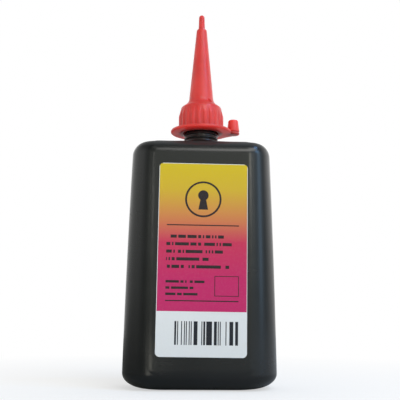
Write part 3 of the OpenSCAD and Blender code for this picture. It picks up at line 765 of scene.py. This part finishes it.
web_way = ear_way + math.acos((RING_R - EAR_R) / EAR_REACH)
web_root = RING_R - WEB_INSET - WEB_ROOT_R
root_x, root_y = web_root * math.cos(web_way), web_root * math.sin(web_way)
web_points = [(root_x + x, root_y + y) for x, y in circle(WEB_ROOT_R, WEB_SIDES)]
web_points += [(ear_x + x, ear_y + y) for x, y in circle(EAR_R - WEB_INSET, WEB_SIDES)]
web_line = [web_points[i] for i in geometry.convex_hull_2d(web_points)]
web_middle = (RING_Z + RING_TOP) / 2
web = loft("ear_web", [at_level(web_line, web_middle + WEB_T * share) for share in (-0.5, 0.5)])
web.data.materials.append(red_ring)
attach(web, "keeper")

# Tip cap: a small tapered moulding with a blind bore, pushed on the peg by hand until the nipple is cut
# open and needs it.
TIP_CAP_R, TIP_CAP_END_R, TIP_CAP_H = 2.4, 1.95, 4.7
TIP_CAP_ROUND, TIP_CAP_END_WALL, TIP_CAP_EDGE, BORE_ROUND, BORE_CHAMFER = 0.7, 0.9, 0.2, 0.15, 0.12
CAP_Z = RING_TOP + RUN_GAP
CAP_TOP = CAP_Z + TIP_CAP_H
CAP_BORE_R = NIPPLE_R + RUN_GAP
bore_end, cap_foot, cap_shoulder = CAP_TOP - TIP_CAP_END_WALL, CAP_Z + TIP_CAP_EDGE, CAP_TOP - TIP_CAP_ROUND
cap_rings = [[(ear_x, ear_y, bore_end)], turned_ring(CAP_BORE_R - BORE_ROUND, bore_end),
             turned_ring(CAP_BORE_R, bore_end - BORE_ROUND), turned_ring(CAP_BORE_R, CAP_Z + BORE_CHAMFER),
             turned_ring(CAP_BORE_R + BORE_CHAMFER, CAP_Z)]
cap_rings += [turned_ring(r, z) for r, z in arc(TIP_CAP_R - TIP_CAP_EDGE, cap_foot, TIP_CAP_EDGE, -90, 0, 5)]
for i in range(1, 8):
    cap_rings.append(turned_ring(lerp(TIP_CAP_R, TIP_CAP_END_R, i / 8), lerp(cap_foot, cap_shoulder, i / 8)))
cap_rings += [turned_ring(r, z) for r, z in
              arc(TIP_CAP_END_R - TIP_CAP_ROUND, cap_shoulder, TIP_CAP_ROUND, 6, 90, 9)]
cap_rings.append([(ear_x, ear_y, CAP_TOP)])
tip_cap = loft("small_tip_cap", cap_rings)
# Painted light: the tip cap's red is paler than the spout's and the ring's, standing in for more light falling
# on it
CAP_LIT_DARK, CAP_LIT_LIGHT = (0.84, 0.055, 0.046, 1), (0.92, 0.067, 0.057, 1)
tip_cap.data.materials.append(red_moulding("red_polyethylene_tip_cap_painted_light", CAP_LIT_DARK, CAP_LIT_LIGHT, RED_DEPTH))
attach(tip_cap, "tip")
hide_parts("tip_cap")

# Stage: a pale sweep of card, which turns white away from the bottle. In reflections the floor near the
# bottle is a table that is dark on the left.
FLOOR_HALF, FLOOR_CELLS, FLOOR_DROP = 3.0, 24, 0.0001
marks = [lerp(-FLOOR_HALF, FLOOR_HALF, i / FLOOR_CELLS) for i in range(FLOOR_CELLS + 1)]
verts, faces = [(x, y, -FLOOR_DROP) for x in marks for y in marks], []
for i in range(FLOOR_CELLS):
    for k in range(FLOOR_CELLS):
        n = i * (FLOOR_CELLS + 1) + k
        faces.append((n, n + FLOOR_CELLS + 1, n + FLOOR_CELLS + 2, n + 1))
mesh = bpy.data.meshes.new("card_floor")
mesh.from_pydata(verts, [], faces)
floor = bpy.data.objects.new("card_floor", mesh)
bpy.context.scene.collection.objects.link(floor)
card, tree, shader = finish_of("white_card")
place = put(tree, "TexCoord").outputs["Object"]
fibre = put(tree, "TexNoise", Vector=place, Scale=120.0, Detail=5.0)
ray = put(tree, "LightPath").outputs
spot = put(tree, "SeparateXYZ", Vector=place).outputs
mirrored = calc(tree, "MAXIMUM", ray["Is Glossy Ray"], ray["Is Transmission Ray"])
behind = spread(tree, spot[1], 0.0, 1.0, 0.45, 0.7)
seen = calc(tree, "MAXIMUM", ray["Is Camera Ray"], calc(tree, "MULTIPLY", mirrored, behind))
pale = blend(tree, fibre.outputs[0], (0.93, 0.93, 0.93, 1), (0.96, 0.96, 0.96, 1))
TABLE_LEFT, TABLE_RIGHT = (0.13, 0.13, 0.122, 1), (0.86, 0.88, 0.89, 1)
table = blend(tree, spread(tree, spot[0], 0.0, 1.0, -0.08, 0.15), TABLE_LEFT, TABLE_RIGHT)
nearby = calc(tree, "MULTIPLY", mirrored, calc(tree, "SUBTRACT", 1.0, behind))
wire(tree, shader.inputs["Base Color"], blend(tree, nearby, pale, table))
shader.inputs["Roughness"].default_value = 0.9
shader.inputs["Specular IOR Level"].default_value = 0.1
white = put(tree, "Emission", Color=(1, 1, 1, 1), Strength=1.0)
distance = put(tree, "VectorMath", {"operation": "LENGTH"}, Vector=place).outputs["Value"]
away = spread(tree, distance, 0.55, 1.0, 0.03, 0.2)
sweep = put(tree, "MixShader")
wire(tree, sweep.inputs[0], calc(tree, "MULTIPLY", away, seen))
wire(tree, sweep.inputs[1], shader.outputs[0])
wire(tree, sweep.inputs[2], white.outputs[0])
wire(tree, tree.nodes["Material Output"].inputs[0], sweep.outputs[0])
mesh.materials.append(card)

# Light: a white room behind the bottle and a dimmer one in front, with a soft ceiling panel, and a cool
# window, a skylight and a small high window on the right. Two small cards give the glints on the panel's
# edges, and a third lies low on the table.
world = bpy.data.worlds.new("room")
bpy.context.scene.world = world
world.use_nodes = True
tree = world.node_tree
way = put(tree, "SeparateXYZ", Vector=put(tree, "TexCoord").outputs["Generated"]).outputs
bearing = calc(tree, "ARCTAN2", way[0], calc(tree, "MULTIPLY", way[1], -1.0))


def tone_ramp(value, start, end, tones):
    """Tones of the room at the given values, blended between them."""
    made = put(tree, "ValToRGB", Fac=spread(tree, value, 0.0, 1.0, start, end))
    for at, tone in tones:
        share = (at - start) / (end - start)
        if share in (0.0, 1.0):
            stop = made.color_ramp.elements[0 if share == 0.0 else len(made.color_ramp.elements) - 1]
        else:
            stop = made.color_ramp.elements.new(share)
        stop.color = (*tone, 1)
    return made.outputs[0]


degrees = calc(tree, "MULTIPLY", bearing, 180 / math.pi)
walls = tone_ramp(degrees, -180, 180, (
    (-180, (0.8, 0.8, 0.8)), (-110, (0.6, 0.61, 0.6)), (-60, (0.6, 0.61, 0.6)), (-46, (0.35, 0.36, 0.35)),
    (-32, (0.2, 0.205, 0.19)), (-12, (0.42, 0.44, 0.39)), (0, (0.52, 0.54, 0.48)), (14, (0.6, 0.62, 0.56)),
    (30, (0.5, 0.6, 0.68)), (68, (0.5, 0.6, 0.7)), (76, (0.3, 0.34, 0.38)), (90, (0.62, 0.64, 0.66)),
    (104, (0.95, 0.95, 0.95)), (180, (0.8, 0.8, 0.8))))
heights = tone_ramp(way[2], 0, 1, tuple((at, (tone, tone, tone)) for at, tone in
                                        ((0, 0.6), (0.25, 1.15), (0.5, 0.85), (0.8, 0.35), (1, 0.3))))
room = put(tree, "VectorMath", {"operation": "MULTIPLY"})
wire(tree, room.inputs[0], walls)
wire(tree, room.inputs[1], heights)
ROOM_STRENGTH = 1.55
room_light = put(tree, "VectorMath", {"operation": "SCALE"}, Scale=ROOM_STRENGTH)
wire(tree, room_light.inputs[0], room.outputs[0])
ray = put(tree, "LightPath").outputs
mirrored = calc(tree, "MAXIMUM", ray["Is Glossy Ray"], ray["Is Transmission Ray"])
behind = spread(tree, way[1], 0.0, 1.0, 0.9, 0.98)
seen = calc(tree, "MAXIMUM", ray["Is Camera Ray"], calc(tree, "MULTIPLY", mirrored, behind))
wire(tree, tree.nodes["Background"].inputs["Color"], blend(tree, seen, room_light.outputs[0], (1, 1, 1, 1)))


def soft_light(name, place, target, size, power, colour):
    """Rectangular soft light that faces a point."""
    lamp = bpy.data.lights.new(name, "AREA")
    lamp.shape = "RECTANGLE"
    lamp.size, lamp.size_y = size
    lamp.energy = power
    lamp.color = colour
    made = bpy.data.objects.new(name, lamp)
    made.location = place
    made.rotation_euler = (Vector(target) - Vector(place)).to_track_quat("-Z", "Y").to_euler()
    made.visible_camera = False
    bpy.context.scene.collection.objects.link(made)


soft_light("ceiling", (0.2, -0.5, 0.72), (0, 0, 0.08), (0.5, 0.35), 2.15, (1.0, 0.98, 0.94))
soft_light("window", (0.56, -0.42, 0.42), (0, 0, 0.09), (0.22, 0.8), 1.0, (0.4, 0.68, 1.0))
soft_light("skylight", (0.52, -0.46, 0.5), (0, 0, 0.11), (0.22, 0.16), 0.5, (0.2, 0.5, 1.0))
soft_light("high_window", (0.383, -0.172, 0.728), (0.02, -0.0125, 0.087), (0.05, 0.07), 0.7, (0.25, 0.5, 1.0))
soft_light("left_card", (-0.22, -0.82, 0.225), (0, 0, 0.07), (0.05, 0.1), 0.14, (1.0, 0.99, 0.93))
soft_light("right_card", (0.29, -0.8, 0.3), (0, 0, 0.07), (0.07, 0.2), 0.38, (1.0, 0.97, 0.86))
soft_light("table_glint", (-0.056, -0.16, 0.003), (-0.0505, -0.1415, 1.0), (0.018, 0.2), 0.055,
           (1.0, 0.98, 0.86))

# Camera: low in front of the bottle, tipped up a little, with the bottle turned slightly to the right.
TURN, TIP_UP, ROLL = math.radians(2.2), math.radians(8.982), math.radians(0.43)
CAMERA_PLACE, SENSOR, LENS = Vector((-0.19, -264.208, 27.839)), 36.0, 63.0
lens = bpy.data.cameras.new("camera")
lens.sensor_fit = "HORIZONTAL"
lens.sensor_width = SENSOR
lens.lens = LENS
lens.clip_start = 0.01
camera = bpy.data.objects.new("camera", lens)
bpy.context.scene.collection.objects.link(camera)
camera.matrix_world = (Matrix.Rotation(-TURN, 4, "Z") @ Matrix.Translation(CAMERA_PLACE * MM)
                       @ Matrix.Rotation(math.radians(90) + TIP_UP, 4, "X") @ Matrix.Rotation(ROLL, 4, "Z"))
bpy.context.scene.camera = camera
bpy.context.scene.view_settings.view_transform = "Standard"
